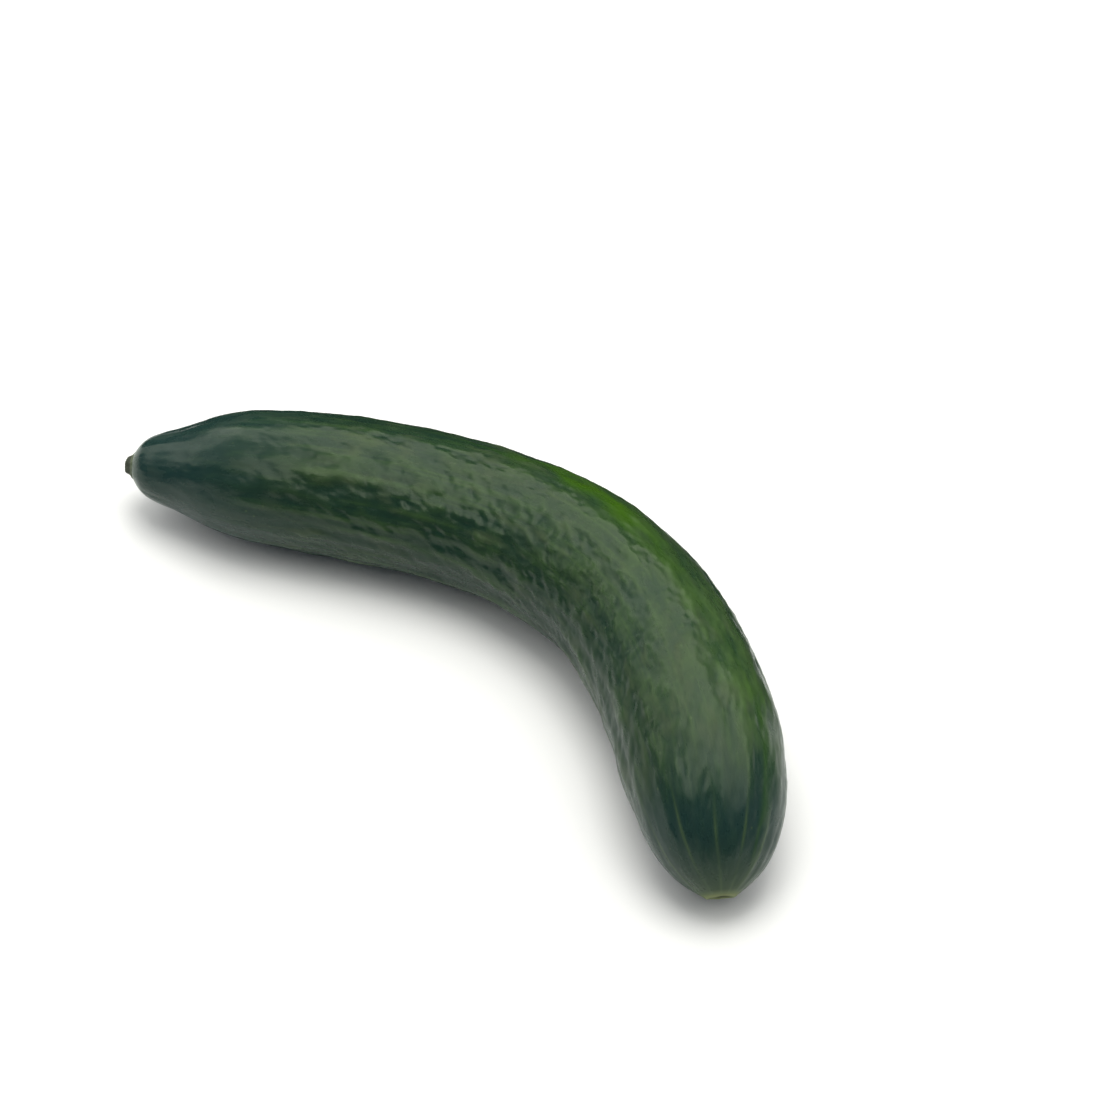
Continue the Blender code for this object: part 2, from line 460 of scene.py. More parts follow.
# %% Make the wave maker
SEED = 20
SIDES = 256
MEAN_GIRTH = math.tau * 24.0
SIDE_STEP = MEAN_GIRTH / SIDES
rng = np.random.default_rng(SEED)
rows = body_marks[:, None]
turns = (np.linspace(0, math.tau, SIDES, endpoint=False) + 1.5 * math.pi)[None, :]
degrees = np.degrees(turns)
# Turn 0 faces the outside of the bend, 90 the sky, 180 the inside of the bend and 270 the
# floor. Column 0 is where the bake map is cut, so the columns start underneath, at 270.


def skin_waves(length, width, slant=0.0):
    """A field of waves that long and wide in mm, with mean 0 and spread 1."""
    noise = np.fft.fft2(rng.standard_normal((BODY_ROWS, SIDES)))
    along = np.fft.fftfreq(BODY_ROWS, ROW_STEP)[:, None]
    around = np.fft.fftfreq(SIDES, SIDE_STEP)[None, :]
    band = ((along + slant * around) * length) ** 2 + (around * width) ** 2
    field = np.fft.ifft2(noise * band * np.exp(-band)).real
    return field / field.std()


def smooth_step(values, low, high):
    t = np.clip((values - low) / (high - low), 0, 1)
    return t * t * (3 - 2 * t)


def bell(distance, spread):
    """1 at distance 0, falling off softly to both sides."""
    return np.exp(-0.5 * (distance / spread) ** 2)


def off_turn(centre):
    """Degrees from that turn to each column, the short way round."""
    return (degrees - centre + 180) % 360 - 180


print("net of", BODY_ROWS, "x", SIDES)

# %% [markdown]
# ## The waves of the relief
# A cucumber is smooth at its neck and its nose and rough along the middle. Where it bends,
# the inside is squeezed into lengthwise furrows and slanting wrinkles, and the top stays
# pebbly. Low on the inner flank the skin is stretched and calm. Short creases are the places
# where a smooth field crosses zero, kept only here and there, so they come out as thin
# crescents. Each kind is one field, drawn here and given its height in the next step.

# %% Draw the fields of the relief
PEBBLE_ROW = 178            # mm from the stalk, where the top of the bend is roughest

middle = smooth_step(rows, 28, 80) * (1 - smooth_step(rows, 246, 276))
inside = bell(off_turn(160), 48) * bell(rows - 150, 62)
pebble_spread = np.where(rows < PEBBLE_ROW, 42, 62)
top_of_bend = bell(off_turn(102), 30) * bell(rows - PEBBLE_ROW, pebble_spread)
calm_flank = 1 - 0.75 * bell(off_turn(222), 34)

swellings = skin_waves(24, 13, 0.15)
lumps = skin_waves(10, 6.0, 0.2)
wrinkles = skin_waves(5.5, 3.2, 0.25)
ripples = skin_waves(2.8, 1.9, 0.1)
grain_lines = skin_waves(38, 3.4, 0.04)
furrows = skin_waves(70, 8.0, 0.05)
pebbles = skin_waves(4.6, 3.6)
lobes = np.cos(3 * turns + 0.6) * 0.10 + np.cos(9 * turns + 0.4 * np.sin(rows / 40)) * 0.05


def creases(length, width, slant, line, keep):
    """Thin lines, 0 to 1: where a smooth field crosses zero, kept where another is high."""
    field = skin_waves(length, width, slant)
    steepness = np.hypot(np.gradient(field, ROW_STEP, axis=0),
                         np.gradient(field, SIDE_STEP, axis=1))
    distance = np.abs(field) / (steepness + 0.02)
    kept = smooth_step(skin_waves(9, 6, slant), keep, keep + 0.8)
    return bell(distance, line) * kept


folds = creases(18, 8, 0.15, 0.75, 0.5)
print("fields of the relief: 9")

# %% [markdown]
# ## Adding up the relief
# Heights are in millimetres above or below the plain skin. Broad swellings and three low
# lobes carry everything, then come lumps, wrinkles and ripples, each smaller than the last.
# Pebbles keep only shallow hollows, because real ones are domes. At both rims the relief
# fades, so that the ends stay round.

# %% Add up the relief
# kind: (height everywhere, more of it in the rough places), in mm
LUMP, WRINKLE, RIPPLE, FURROW = (0.022, 0.070), (0.008, 0.034), (0.003, 0.013), (0.05, 0.20)
SWELLING, GRAIN, PEBBLE, FOLD = 0.11, 0.010, 0.110, 0.14
PEBBLE_FLOOR = -0.4         # hollows between pebbles are cut off here
RIM_FADE = 9.0              # mm from each rim over which the relief fades ...
RIM_SHARE = 0.12            # ... to this share


def rough_height(kind, rough_places):
    calm, more = kind
    return calm + more * rough_places


relief = lobes * smooth_step(rows, 10, 60) * (1 - smooth_step(rows, 255, 285))
relief = relief + swellings * SWELLING * (0.4 + 0.6 * middle)
relief += lumps * rough_height(LUMP, middle * (0.35 + inside)) * calm_flank
relief += wrinkles * rough_height(WRINKLE, middle * (0.85 + 0.3 * inside)) * calm_flank
relief += ripples * rough_height(RIPPLE, middle) * calm_flank
relief += grain_lines * GRAIN * (0.4 + 0.6 * smooth_step(rows, 120, 210))
relief += furrows * rough_height(FURROW, middle * bell(off_turn(200), 30))
relief += np.maximum(pebbles, PEBBLE_FLOOR) * PEBBLE * top_of_bend
relief -= folds * FOLD * middle * (0.45 + inside)
at_rims = smooth_step(rows, 1.0, RIM_FADE) * (
    1 - smooth_step(rows, fruit_length - RIM_FADE, fruit_length - 1))
relief *= RIM_SHARE + (1 - RIM_SHARE) * at_rims
print("relief, mm: lowest", round(relief.min(), 2), "highest", round(relief.max(), 2))

# %% [markdown]
# ## The crest beside the greener side
# Towards the blossom end the fruit isn't quite round: a soft crest runs along the top, and
# the skin falls away past it in a long, flat facet. It catches the light as one clear line.
# The relief is copied before the facet is cut, and the colours are later mixed by the copy:
# raised places get a painted highlight and folds a painted shade, and the facet neither.

# %% Cut the facet past the crest
CREST_TURN, CREST_SHIFT = 82, 8       # degrees, and how far it moves towards the blossom end
CREST_WANDER = 1.5                    # degrees
FACET_EDGE, FACET_REACH = 5.0, 26.0   # degrees: how soft the crest is, how wide the facet
FACET_DEPTH = 0.55                    # mm

# copy of the relief for the painted highlight on raised places and painted shade in folds
relief_for_painted_light = relief.copy()
crest = (CREST_TURN + CREST_SHIFT * smooth_step(rows, 228, 250)
         + CREST_WANDER * np.sin(rows / 7.0))
turn_from_below = (degrees + 90) % 360 - 90
past_crest = np.maximum(crest - turn_from_below, 0)
facet = (1 - np.exp(-past_crest / FACET_EDGE)) * np.exp(-past_crest / FACET_REACH)
facet_rows = smooth_step(rows, 188, 212) * (1 - smooth_step(rows, 240, 262))
relief -= FACET_DEPTH * facet * facet_rows
print("facet cut to", round(FACET_DEPTH * (facet * facet_rows).max(), 2), "mm")

# %% [markdown]
# ## The two ends
# At the blossom tip the flower leaves a small round scar: a corky lip round a sunken middle.
# At the stalk end the skin draws in to a shallow pocket that holds the stub. Both could be
# objects of their own, but they are one skin with the rest. So they are made as extra rows
# that carry the net on from the rims to a single point in the middle.

# %% Profile of the scar and of the stalk pocket
# Each row is (share of the rim's radius, height in mm beyond the rim).
SCAR_ROWS = [
    (0.975, 0.12), (0.93, 0.28), (0.87, 0.42), (0.80, 0.48), (0.73, 0.42), (0.66, 0.22),
    (0.59, -0.10), (0.51, -0.42), (0.42, -0.62), (0.30, -0.72), (0.16, -0.70),
]
SCAR_MIDDLE = -0.66         # mm, the height of the point that closes the scar
POCKET_ROWS = [(0.97, 0.10), (0.92, 0.10), (0.86, -0.05), (0.78, -0.25), (0.55, -0.35)]
stalk_rim, scar_rim = body_radii[0], body_radii[-1]

pocket_marks = [body_marks[0] - height for share, height in reversed(POCKET_ROWS)]
pocket_radii = [stalk_rim * share for share, height in reversed(POCKET_ROWS)]
scar_marks = [body_marks[-1] + height for share, height in SCAR_ROWS]
scar_radii = [scar_rim * share for share, height in SCAR_ROWS]
net_marks = np.concatenate([pocket_marks, body_marks, scar_marks])
net_radii = np.concatenate([pocket_radii, body_radii, scar_radii])
net_rows = net_marks[:, None]
first_body, last_body = len(POCKET_ROWS), len(POCKET_ROWS) + BODY_ROWS
NET_ROWS = len(net_marks)

lip_shape = 0.05 * np.cos(3 * turns[0] + 1.0) + 0.03 * np.cos(7 * turns[0])
lip_height = 0.10 * np.cos(2 * turns[0] + 0.4) + 0.07 * np.cos(5 * turns[0] + 2.0)
print(NET_ROWS, "rows with both ends")

# %% [markdown]
# ## A sheet that closes at both ends
# Skin and stub are both a tube of rings that narrows to a point at each end. A grid could be
# bent into that shape by hand, but a function that lists the faces makes it at any size. The
# bake map is the unrolled sheet, cut where column 0 is.

# %% Make the sheet helpers
MAP_EDGE, MAP_SPAN = 0.02, 0.96


def sheet_faces(row_count, side_count):
    """Quads of a closed tube of rings, and the triangles that close it at two end points."""
    faces = []
    for row in range(row_count - 1):
        for side in range(side_count):
            beside = (side + 1) % side_count
            faces.append((row * side_count + side, row * side_count + beside,
                          (row + 1) * side_count + beside, (row + 1) * side_count + side))
    start, end = row_count * side_count, row_count * side_count + 1
    last = (row_count - 1) * side_count
    for side in range(side_count):
        beside = (side + 1) % side_count
        faces.append((start, beside, side))
        faces.append((end, last + side, last + beside))
    return faces


def sheet_map(mesh, row_count, side_count):
    """A bake map that unrolls the tube, with its cut where column 0 is."""
    layer = mesh.uv_layers.new(name="OFBake")
    point_count = row_count * side_count
    for face in mesh.polygons:
        columns = [mesh.loops[i].vertex_index % side_count for i in face.loop_indices
                   if mesh.loops[i].vertex_index < point_count]
        wraps = max(columns) - min(columns) > side_count / 2
        for i in face.loop_indices:
            vertex = mesh.loops[i].vertex_index
            if vertex >= point_count:
                column = sum(c + (side_count if wraps and c == 0 else 0)
                             for c in columns) / len(columns)
                row = -0.5 if vertex == point_count else row_count - 0.5
            else:
                row, column = divmod(vertex, side_count)
                if wraps and column == 0:
                    column = side_count
            layer.data[i].uv = (MAP_EDGE + MAP_SPAN * column / side_count,
                                MAP_EDGE + MAP_SPAN * (row + 0.5) / row_count)


def sheet_object(name, rings, start, end):
    """A closed smooth object from rings of points and its two end points."""
    row_count, side_count = rings.shape[:2]
    points = np.vstack([rings.reshape(-1, 3), start, end])
    thing = place_mesh(name, points.tolist(), sheet_faces(row_count, side_count))
    mesh = thing.data
    mesh.polygons.foreach_set("use_smooth", [True] * len(mesh.polygons))
    sheet_map(mesh, row_count, side_count)
    return thing


print("sheet helpers ready")

# %% [markdown]
# ## Wrapping the net round the axis
# Every row is a ring in the plane across the axis. The relief moves each point along the
# skin's own normal, which leans forward where the profile narrows. Nothing may sink into the
# floor, so the resting side is pressed flat there as the real fruit's is. The lip of the scar
# gets an uneven outline and height, because cork never grows as a perfect ring.

# %% Build the skin
def over_net(body_values):
    """Values of the body's rows, with zeros in the rows of both ends."""
    values = np.zeros((NET_ROWS, SIDES))
    values[first_body:last_body] = body_values
    return values


along, outward, upward = axis_frames(net_marks)
spokes = (np.cos(turns)[..., None] * outward[:, None, :]
          + np.sin(turns)[..., None] * upward[:, None, :])
with_neighbours = slice(first_body - 1, last_body + 1)
slopes = np.gradient(net_radii[with_neighbours], net_marks[with_neighbours])[1:-1]
slopes = np.pad(slopes, (first_body, NET_ROWS - last_body), mode="edge")
normals = spokes - slopes[:, None, None] * along[:, None, :]
normals /= np.linalg.norm(normals, axis=2)[..., None]

ring_radii = np.repeat(net_radii[:, None], SIDES, axis=1)
share_to_rim = np.clip((ring_radii[last_body:] / scar_rim - 0.3) / 0.6, 0, 1)
ring_radii[last_body:] *= 1 + lip_shape[None, :] * np.sin(share_to_rim * math.pi)
scar_depth = np.linspace(0, 1, len(SCAR_ROWS))[:, None]
scar_wobble = np.sin(scar_depth * math.pi) * lip_height[None, :]

net = axis_at(net_marks)[:, None, :] + spokes * ring_radii[..., None] * MM
net += normals * over_net(relief)[..., None] * MM
net[last_body:] += along[last_body:, None, :] * scar_wobble[..., None] * MM
net[..., 2] = np.maximum(net[..., 2], 0.0)

pocket_end = axis_at(net_marks[:1])[0]
scar_end = axis_at(np.array([body_marks[-1] + SCAR_MIDDLE]))[0]
fruit = sheet_object("cucumber_skin", net, pocket_end, scar_end)
print("skin:", len(fruit.data.polygons), "faces")

# %% [markdown]
# ## The seam and the greener side
# The side of a fruit that faced the light is a fresher green, and here a yellow-green seam
# runs along it, broad at the bend and thin towards the nose. Noise in the material could
# make streaks anywhere, but this one has its own place. So it is drawn on the net, by turn
# and distance, and wanders a little.

# %% Draw the seam and the greener side
SEAM = [                    # (row in mm, turn, half width in degrees, strength)
    (95, 62, 3, 0.0), (121, 59, 4, 0.30), (138, 56, 6, 0.70), (150, 57, 9, 1.00),
    (163, 61, 10, 1.00), (174, 65, 8, 0.80), (184, 67, 5, 0.45), (200, 66, 4.5, 0.20),
    (214, 62, 4, 0.18), (227, 56, 3.5, 0.25), (240, 49, 3, 0.35), (254, 46, 3, 0.35),
    (267, 48, 2.5, 0.35), (280, 56, 2.5, 0.30), (290, 62, 2.5, 0.3),
]
LIGHT_TURN = 56             # degrees, the middle of the greener side
LIGHT_STRENGTH = 0.6
BAND_TURN, BAND_CORE, BAND_EDGE = 57, 15, 22    # a fully leaf green band in its middle
seam_table = np.array(SEAM).T
seam_turn, seam_width, seam_strength = (
    np.interp(net_marks, seam_table[0], column)[:, None] for column in seam_table[1:])

wander = over_net(skin_waves(26, 9))
seam = bell(off_turn(seam_turn) + 3 * wander, seam_width) * seam_strength
light_side = LIGHT_STRENGTH * bell(off_turn(LIGHT_TURN), 26) * smooth_step(net_rows, 90, 215)
band = smooth_step(-np.abs(off_turn(BAND_TURN) + 2 * wander), -BAND_EDGE, -BAND_CORE)
light_side = np.maximum(light_side, band * smooth_step(net_rows, 165, 210))
light_side = light_side * (1 - smooth_step(net_rows, 238, 266))
print("seam and greener side drawn")

# %% [markdown]
# ## Veins, scar, collar and ends
# Pale veins run together at the scar, each with its own turn and start. The cork starts just
# before the rim and its middle is dark. A paler halo lies round the scar and a pale collar
# round the stalk. Neck and nose are painted bluer than the body, a painted reflection of the
# cool surroundings. Round features need no more than a value for each row.

# %% Draw the marks of both ends
VEIN_TURNS = [14, 45, 68, 93, 123, 157, 192, 226, 262, 298, 334]
VEIN_HALF_WIDTH = 0.30      # mm
VEIN_START, VEIN_STAGGER = 250, 9
HALO_REACH, COLLAR_REACH = 5.0, 1.1     # mm
CORK_EDGE = (0.15, 0.45, 0.8)           # share of cork in the last rows before the rim
ENDS_REFLECTION_STRENGTH = 0.8

veins = np.zeros((NET_ROWS, SIDES))
for number, turn in enumerate(VEIN_TURNS):
    bend = 2.2 * np.sin(net_rows / 9.0 + number) + 0.04 * (net_rows - 262)
    vein_width = VEIN_HALF_WIDTH / np.radians(1) / np.maximum(net_radii[:, None], 5.0)
    start = VEIN_START + VEIN_STAGGER * math.sin(number * 2.4)
    vein = bell(off_turn(turn + bend), vein_width)
    veins = np.maximum(veins, vein * smooth_step(net_rows, start, start + 16))
veins *= 0.65 + 0.35 * np.clip(wander, -1, 1)

halo = np.exp(-np.maximum(fruit_length - net_rows, 0) / HALO_REACH)
collar = np.exp(-np.maximum(net_rows - 0.3, 0) / COLLAR_REACH)
cork = np.zeros((NET_ROWS, 1))
cork[last_body - len(CORK_EDGE):last_body, 0] = CORK_EDGE
cork[last_body:] = 1.0
sunken = np.zeros((NET_ROWS, 1))
sunken[last_body:, 0] = 1 - smooth_step(np.array(SCAR_ROWS)[:, 0], 0.5, 0.74)
# neck and nose: painted bluish reflection of the cool surroundings
ends = ENDS_REFLECTION_STRENGTH * (1 - smooth_step(net_rows, 15, 75))
ends = ends + ENDS_REFLECTION_STRENGTH * smooth_step(net_rows, 246, 270)
print(len(VEIN_TURNS), "veins drawn")

# %% [markdown]
# ## Storing the marks
# A material can read a value that is stored at the points of a mesh, so the marks lie on the
# fruit itself and turn with it. One more is a place: where each point was before the fruit
# bent. A texture that reads it bends with the fruit and has no seam.

# %% Store the marks
PAINTED_LIGHT_RELIEF_RANGE = 0.5            # mm of relief for the full range of its mark


def mark(thing, name, values):
    """Stores a value for each point of a sheet, or for each of its rows, under a name."""
    side_count = (len(thing.data.vertices) - 2) // len(values)
    values = np.broadcast_to(values, (len(values), side_count))
    layer = thing.data.attributes.new(name, "FLOAT", "POINT")
    flat = np.concatenate([values.reshape(-1), [values[0].mean(), values[-1].mean()]])
    layer.data.foreach_set("value", flat.astype(np.float32))


def mark_place(thing, heights, radii, turns):
    """Stores where each point was before the fruit bent: distance along, and two across."""
    layer = thing.data.attributes.new("grown_place", "FLOAT_VECTOR", "POINT")
    place = np.stack(np.broadcast_arrays(heights, radii * np.cos(turns),
                                         radii * np.sin(turns)), axis=-1)
    tips = [(heights[0].mean(), 0, 0), (heights[-1].mean(), 0, 0)]
    flat = np.vstack([place.reshape(-1, 3), tips])
    layer.data.foreach_set("vector", flat.reshape(-1).astype(np.float32))


mark_place(fruit, net_rows, net_radii[:, None], turns)
for name, values in (("seam", seam), ("light_side", light_side), ("veins", veins),
                     ("halo", halo), ("ends", ends), ("cork", cork), ("sunken", sunken),
                     ("collar", collar),
                     # the relief mark drives the painted highlight and painted shade in the
                     # skin's colour
                     ("relief", np.clip(over_net(relief_for_painted_light) / PAINTED_LIGHT_RELIEF_RANGE, -1, 1))):
    mark(fruit, name, values)
print("marks:", [layer.name for layer in fruit.data.attributes if layer.domain == "POINT"])

# %% [markdown]
# ## Patches that grew, a shared effect
# Plant skin varies in patches that are longer than they are wide, because the cells stretch
# as the fruit grows. Plain noise has round spots. This group stretches it by a length and a
# width, and is built once, so that skin and stalk can each use it with their own values.

# %% Build the grown patches group
def new_group(name, inputs, outputs):
    """An empty shader group with named sockets, and its two end nodes."""
    group = bpy.data.node_groups.new(name, "ShaderNodeTree")
    for label, kind, value in inputs:
        socket = group.interface.new_socket(label, in_out="INPUT", socket_type=kind)
        if value is not None:
            socket.default_value = value
    for label, kind in outputs:
        group.interface.new_socket(label, in_out="OUTPUT", socket_type=kind)
    return group, group.nodes.new("NodeGroupInput"), group.nodes.new("NodeGroupOutput")


def place_group(tree, group, **values):
    """The output of a group that is placed in a tree with those values."""
    return add_node(tree, "Group", node_tree=group, **values).outputs[0]


patches, start, end = new_group(
    "grown_patches",
    [("Place", "NodeSocketVector", None), ("Length", "NodeSocketFloat", 20.0),
     ("Width", "NodeSocketFloat", 6.0), ("Shift", "NodeSocketFloat", 0.0),
     ("Low", "NodeSocketFloat", 0.35), ("High", "NodeSocketFloat", 0.65)],
    [("Value", "NodeSocketFloat")])
lengthwise = calculate(patches, "DIVIDE", 1.0, start.outputs["Length"])
crosswise = calculate(patches, "DIVIDE", 1.0, start.outputs["Width"])
scale = add_node(patches, "CombineXYZ", lengthwise, crosswise, crosswise)
stretched = add_node(patches, "VectorMath", start.outputs["Place"], scale.outputs[0],
                     operation="MULTIPLY")
shifted = add_node(patches, "VectorMath", stretched.outputs[0], start.outputs["Shift"],
                   operation="ADD")
cloud = add_node(patches, "TexNoise", Vector=shifted.outputs[0], Scale=1.0, Detail=3.0,
                 Roughness=0.55)
feed(patches, end.inputs["Value"],
     mask_from(patches, cloud.outputs[0], start.outputs["Low"], start.outputs["High"]))
print("group", patches.name)

# %% [markdown]
# ## The fine surface, a shared effect
# The finest texture is too small for the net: tight wrinkles, which are narrow grown patches,
# and small pores. It is only a height for a Bump node. Both materials use it, the skin with
# hardly any pores and the dry stalk with many.

# %% Build the fine surface group
fine, start, end = new_group(
    "fine_surface",
    [("Place", "NodeSocketVector", None), ("Wrinkle", "NodeSocketFloat", 1.2),
     ("Stretch", "NodeSocketFloat", 2.0), ("Pore", "NodeSocketFloat", 1.0),
     ("Pore Share", "NodeSocketFloat", 0.3)],
    [("Height", "NodeSocketFloat")])
wrinkle_length = calculate(fine, "MULTIPLY", start.outputs["Wrinkle"],
                           start.outputs["Stretch"])
tight_wrinkles = place_group(fine, patches, Place=start.outputs["Place"],
                             Length=wrinkle_length, Width=start.outputs["Wrinkle"],
                             Low=0.2, High=0.8)
pore_scale = calculate(fine, "DIVIDE", 1.0, start.outputs["Pore"])
pores = add_node(fine, "TexVoronoi", feature="SMOOTH_F1", Vector=start.outputs["Place"],
                 Scale=pore_scale)
pore_height = calculate(fine, "MULTIPLY", pores.outputs["Distance"],
                        start.outputs["Pore Share"])
feed(fine, end.inputs["Height"], calculate(fine, "ADD", tight_wrinkles, pore_height))


def give_texture(tree, shader, strength, height, **values):
    """Feeds the shader's Normal with the fine surface, placed with those values."""
    surface = place_group(tree, fine, **values)
    bump = add_node(tree, "Bump", Height=surface, Strength=strength, Distance=height)
    feed(tree, shader.inputs["Normal"], bump.outputs["Normal"])


print("group", fine.name)

# %% [markdown]
# ## The colours of the green skin
# The skin is dark blue-green on the flanks and more olive above, with leaf green on the side
# that faced the light. Raised places are painted a little paler, a painted highlight, and
# folds darker, a painted shade in the creases. Faint lengthwise streaks, small pale specks,
# the veins and the cork of the scar go on top. A painted image could hold all this, but
# blends of masks stay sharp at any size. Each layer is a share and a colour, laid over what
# is there.

# %% Mix the skin's colours
DEEP_GREEN = (0.0080, 0.0265, 0.0190, 1.0)
OLIVE_GREEN = (0.0155, 0.0345, 0.0160, 1.0)
# painted reflection: the bluish tone laid on neck and nose
ENDS_REFLECTION_BLUE = (0.0090, 0.0290, 0.0310, 1.0)
LEAF_GREEN = (0.0460, 0.0900, 0.0270, 1.0)
SEAM_GREEN = (0.0315, 0.0840, 0.0056, 1.0)
FADED_GREEN = (0.0392, 0.0595, 0.0301, 1.0)
PALE_VEIN = (0.0540, 0.0900, 0.0400, 1.0)
HALO_GREEN = (0.0490, 0.0805, 0.0245, 1.0)
CORK_PALE = (0.2100, 0.2350, 0.1150, 1.0)
CORK_DARK = (0.0300, 0.0300, 0.0140, 1.0)
OLIVE_FROM, OLIVE_TO = -6.0, 24.0       # mm above the axis
SPECK_SCALE = 0.16
SPECK_EDGE, SPECK_CORE = 0.085, 0.035

skin, tree, shader = new_material("green_skin")
place = read_mark(tree, "grown_place", "Vector")
place_parts = add_node(tree, "SeparateXYZ", place).outputs
# the relief, read for the painted highlight and the painted shade
painted_light_relief = read_mark(tree, "relief")
broad = place_group(tree, patches, Place=place, Length=38.0, Width=15.0, Low=0.36, High=0.66)
small = place_group(tree, patches, Place=place, Length=9.0, Width=4.0, Shift=7.3,
                    Low=0.38, High=0.68)
streaks = place_group(tree, patches, Place=place, Length=90.0, Width=2.2, Shift=3.1,
                      Low=0.45, High=0.72)
pale_patch = place_group(tree, patches, Place=place, Length=14.0, Width=5.5, Shift=11.0,
                         Low=0.50, High=0.72)
speck_cells = add_node(tree, "TexVoronoi", Vector=place, Scale=SPECK_SCALE)
specks = mask_from(tree, speck_cells.outputs["Distance"], SPECK_EDGE, SPECK_CORE, "LINEAR")
upper = mask_from(tree, place_parts["Z"], OLIVE_FROM, OLIVE_TO)

olive = calculate(tree, "MULTIPLY", upper, mask_between(tree, broad, 0.4, 1.0))
leaf = calculate(tree, "MULTIPLY", read_mark(tree, "light_side"),
                 mask_between(tree, small, 0.5, 1.0))
cork_colour = blend_colour(tree, read_mark(tree, "sunken"), CORK_PALE, CORK_DARK)
LAYERS = [
    (leaf, LEAF_GREEN),
    (scale_mask(tree, streaks, 0.35), LEAF_GREEN),
    (scale_mask(tree, pale_patch, 0.65), FADED_GREEN),
    # painted highlight: raised places paler
    (scale_mask(tree, painted_light_relief, 0.35, clamp=True), LEAF_GREEN),      # raised places
    # painted shade: folds darker
    (scale_mask(tree, painted_light_relief, -0.7, clamp=True), DEEP_GREEN),      # folds
    # painted reflection: neck and nose bluer
    (read_mark(tree, "ends"), ENDS_REFLECTION_BLUE),
    (read_mark(tree, "seam"), SEAM_GREEN),
    (scale_mask(tree, read_mark(tree, "halo"), 0.8), HALO_GREEN),
    (scale_mask(tree, read_mark(tree, "veins"), 0.8), PALE_VEIN),
    (scale_mask(tree, specks, 0.5), PALE_VEIN),
    (scale_mask(tree, read_mark(tree, "collar"), 0.7), PALE_VEIN),
    (read_mark(tree, "cork"), cork_colour),
]
colour = blend_colour(tree, olive, DEEP_GREEN, OLIVE_GREEN)
for share, layer_colour in LAYERS:
    colour = blend_colour(tree, share, colour, layer_colour)
feed(tree, shader.inputs["Base Color"], colour)
print("layers of colour:", len(LAYERS))

# %% [markdown]
# ## The waxy sheen
# The wax gives a fairly sharp sheen that varies: duller in small spots, on pale patches and
# towards the blossom end, and gone on cork. A clear coat over a dull base was the other way,
# but skin has one surface, so one roughness that varies is enough. The sheen is weaker than
# plastic's and slightly green, and both are plain values on the shader.

# %% Give the skin its sheen
SHEEN_SHARPEST, SHEEN_SPOTTED = 0.19, 0.31      # roughness
DULL_PATCH, DULL_BLOSSOM_HALF, DULL_CORK = 0.14, 0.07, 0.45
BLOSSOM_HALF_FROM, BLOSSOM_HALF_TO = 110.0, 200.0       # mm from the stalk
SHEEN_LEVEL = 0.3
SHEEN_TINT = (0.88, 1.0, 0.84, 1.0)

blossom_half = mask_from(tree, place_parts["X"], BLOSSOM_HALF_FROM, BLOSSOM_HALF_TO)
roughness = mask_between(tree, small, SHEEN_SHARPEST, SHEEN_SPOTTED)
for mask, duller in ((pale_patch, DULL_PATCH), (blossom_half, DULL_BLOSSOM_HALF),
                     (read_mark(tree, "cork"), DULL_CORK)):
    roughness = calculate(tree, "ADD", roughness, scale_mask(tree, mask, duller))
feed(tree, shader.inputs["Roughness"], roughness)
shader.inputs["Specular IOR Level"].default_value = SHEEN_LEVEL
shader.inputs["Specular Tint"].default_value = SHEEN_TINT
give_texture(tree, shader, 0.4, 0.00007, Place=place, Wrinkle=2.2, Stretch=2.2, Pore=0.9,
             Pore_Share=0.04)
fruit.data.materials.append(skin)
print("skin nodes:", len(tree.nodes))

# %% [markdown]
# ## Where the stub sits
# The stub's place and size come from its plain node. Its points are measured along the axis,
# for how far it reaches, and across it, for the radius of its base.

# %% Measure the plain stub
stub_points = np.array([vertex.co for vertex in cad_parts["stalk_stub"].data.vertices])
stalk_face = axis_at(np.array([0.0]))[0]
stub_along = -axis_frames(np.array([0.0]))[0][0]
stub_reach = (stub_points - stalk_face) @ stub_along / MM
off_axis = stub_points - stalk_face - np.outer(stub_reach * MM, stub_along)
stub_base_radius = np.linalg.norm(off_axis, axis=1).max() / MM
stub_end = stub_reach.max()
stub_out = np.cross(np.array(UP), stub_along)
stub_out /= np.linalg.norm(stub_out)
stub_up = np.cross(stub_along, stub_out)
print("stub: base radius", round(stub_base_radius, 2), "mm, reach", round(stub_end, 2), "mm")

# %% [markdown]
# ## The stub of the stalk
# The stalk of a cucumber has five ridges. Cut short, it dries: it shrinks a little, its cut
# end frays, and the pith sinks in the middle. A cylinder with a displaced surface would do
# from afar. It is made instead as a small ringed sheet, like the skin, whose rows give its
# profile. A few random fibres round it make ridges and cut uneven.

# %% Build the stub
# (share of the base radius, share of the length, ridge depth)
STUB_ROWS = [
    (1.12, 0.00, 0.00), (1.13, 0.05, 0.01), (1.12, 0.12, 0.02), (1.07, 0.19, 0.03),
    (1.00, 0.26, 0.04), (0.93, 0.33, 0.05), (0.87, 0.40, 0.055), (0.82, 0.48, 0.06),
    (0.78, 0.57, 0.06), (0.75, 0.66, 0.06), (0.72, 0.75, 0.06), (0.69, 0.84, 0.06),
    (0.66, 0.91, 0.055), (0.63, 0.96, 0.05), (0.59, 0.99, 0.04), (0.54, 1.00, 0.03),
    (0.47, 0.985, 0.02), (0.39, 0.955, 0.01), (0.30, 0.915, 0.0), (0.20, 0.885, 0.0),
    (0.10, 0.875, 0.0),
]
STUB_SIDES = 96
STUB_RIDGES = 5
STUB_SUNK = 0.25            # mm that the base goes into the pocket
STUB_SHRINK = 0.97
FINEST_FIBRE = 22           # waves round the stub

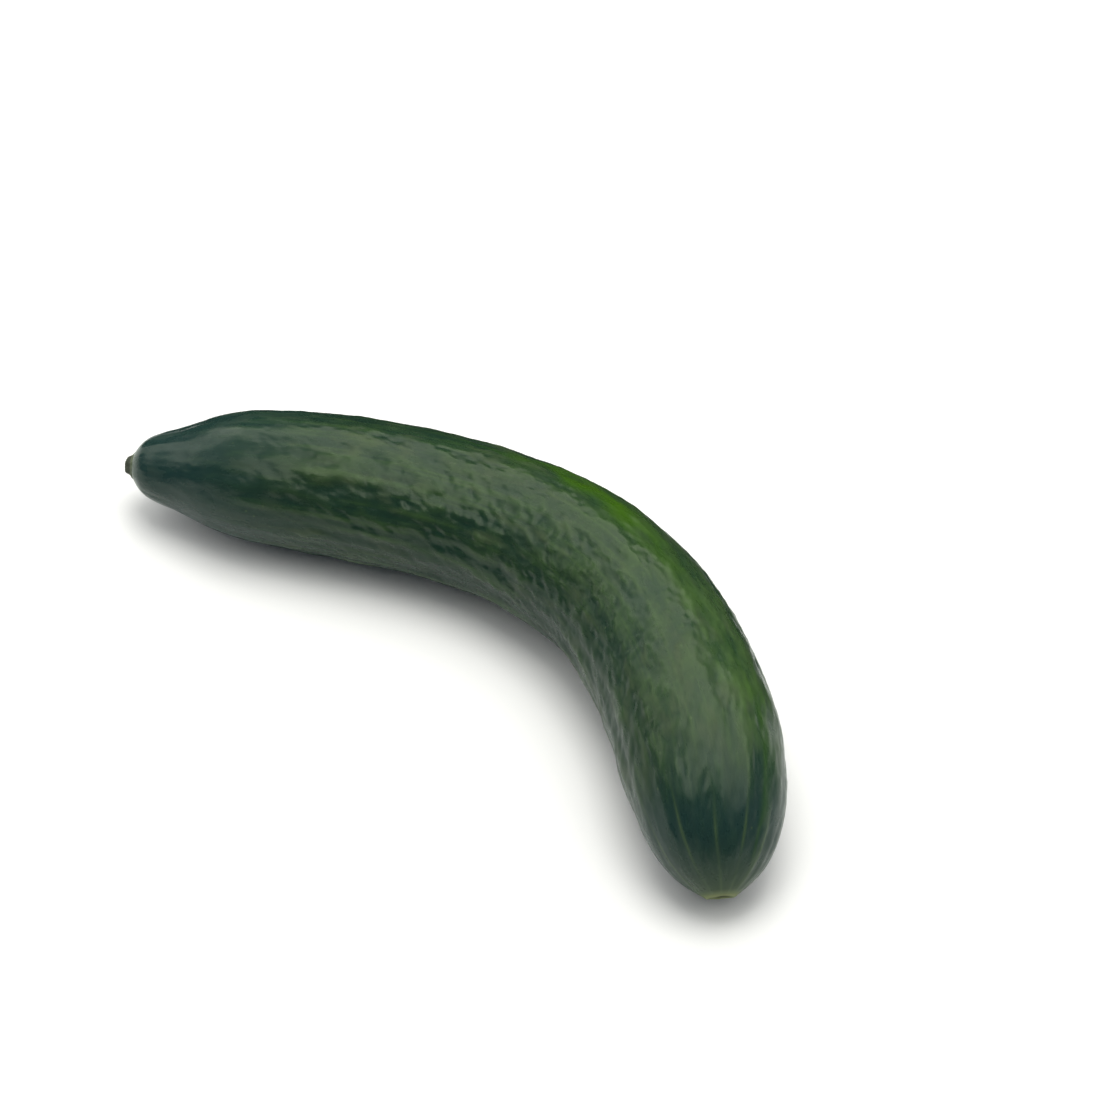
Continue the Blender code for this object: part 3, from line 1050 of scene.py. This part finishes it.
stub_turns = np.linspace(0, math.tau, STUB_SIDES, endpoint=False)
share, height, ridge = np.array(STUB_ROWS).T[..., None]
stub_rng = np.random.default_rng(SEED + 1)
fibre_waves = np.fft.fft(stub_rng.standard_normal(STUB_SIDES))
fibre_waves *= np.abs(np.fft.fftfreq(STUB_SIDES, 1 / STUB_SIDES)) < FINEST_FIBRE
fibres = np.fft.ifft(fibre_waves).real
fibres /= np.abs(fibres).max()

uneven = 1 + ridge * np.cos(STUB_RIDGES * stub_turns) + 0.02 * fibres
stub_radii = stub_base_radius * STUB_SHRINK * share * uneven
torn = np.clip((height - 0.8) / 0.2, 0, 1) * (share > 0.2)
stub_heights = (stub_end + STUB_SUNK) * height - STUB_SUNK
stub_heights = stub_heights + torn * (0.07 * fibres + 0.05 * np.cos(2 * stub_turns))
stub_spokes = np.cos(stub_turns)[:, None] * stub_out + np.sin(stub_turns)[:, None] * stub_up
stub_rings = (stalk_face + stub_spokes[None] * stub_radii[..., None] * MM
              + stub_along * stub_heights[..., None] * MM)
pith = stalk_face + stub_along * (stub_heights[-1].mean() * MM)
stub = sheet_object("dry_stub", stub_rings, stalk_face - stub_along * STUB_SUNK * MM, pith)

mark_place(stub, stub_heights, stub_radii, stub_turns)
mark(stub, "cut_face", smooth_step(np.arange(len(STUB_ROWS))[:, None], 12.0, 15.0))
mark(stub, "pale_ring", 1 - smooth_step(height, 0.16, 0.34))
print("stub:", len(stub.data.polygons), "faces")

# %% [markdown]
# ## The dry stalk
# Dry stalk is dull and olive brown, with a lengthwise grain. Its cut end is darker, in
# blotches, and a pale ring is left where it meets the fruit. The two shared effects make
# grain, blotches and fine wrinkles here too, at a much smaller size than on the skin.

# %% Make the dry stalk material
STALK_OLIVE = (0.020, 0.030, 0.017, 1.0)
STALK_TAN = (0.048, 0.055, 0.034, 1.0)
CUT_DARK = (0.012, 0.011, 0.008, 1.0)
RING_PALE = (0.085, 0.110, 0.062, 1.0)

dry, tree, shader = new_material("dry_stalk")
place = read_mark(tree, "grown_place", "Vector")
grain = place_group(tree, patches, Place=place, Length=4.0, Width=0.5, Low=0.35, High=0.65)
blotch = place_group(tree, patches, Place=place, Length=1.6, Width=1.6, Shift=4.0)
cut = calculate(tree, "MULTIPLY", read_mark(tree, "cut_face"),
                mask_between(tree, blotch, 0.65, 1.0))
colour = blend_colour(tree, grain, STALK_OLIVE, STALK_TAN)
colour = blend_colour(tree, read_mark(tree, "pale_ring"), colour, RING_PALE)
colour = blend_colour(tree, cut, colour, CUT_DARK)
feed(tree, shader.inputs["Base Color"], colour)
feed(tree, shader.inputs["Roughness"], mask_between(tree, blotch, 0.6, 0.8))
give_texture(tree, shader, 0.8, 0.00015, Place=place, Wrinkle=0.35, Stretch=4.0, Pore=0.4,
             Pore_Share=0.4)
stub.data.materials.append(dry)
print("stalk nodes:", len(tree.nodes))

# %% [markdown]
# ## Joining the pieces to the plain model
# Each finished piece rides on the body and takes the place of its plain node, which is
# hidden.

# %% Attach and finish
for piece, node, finish in ((fruit, "cucumber_fruit", "green_skin"),
                            (stub, "stalk_stub", "dry_stalk")):
    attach(piece, "root")
    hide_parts(node)
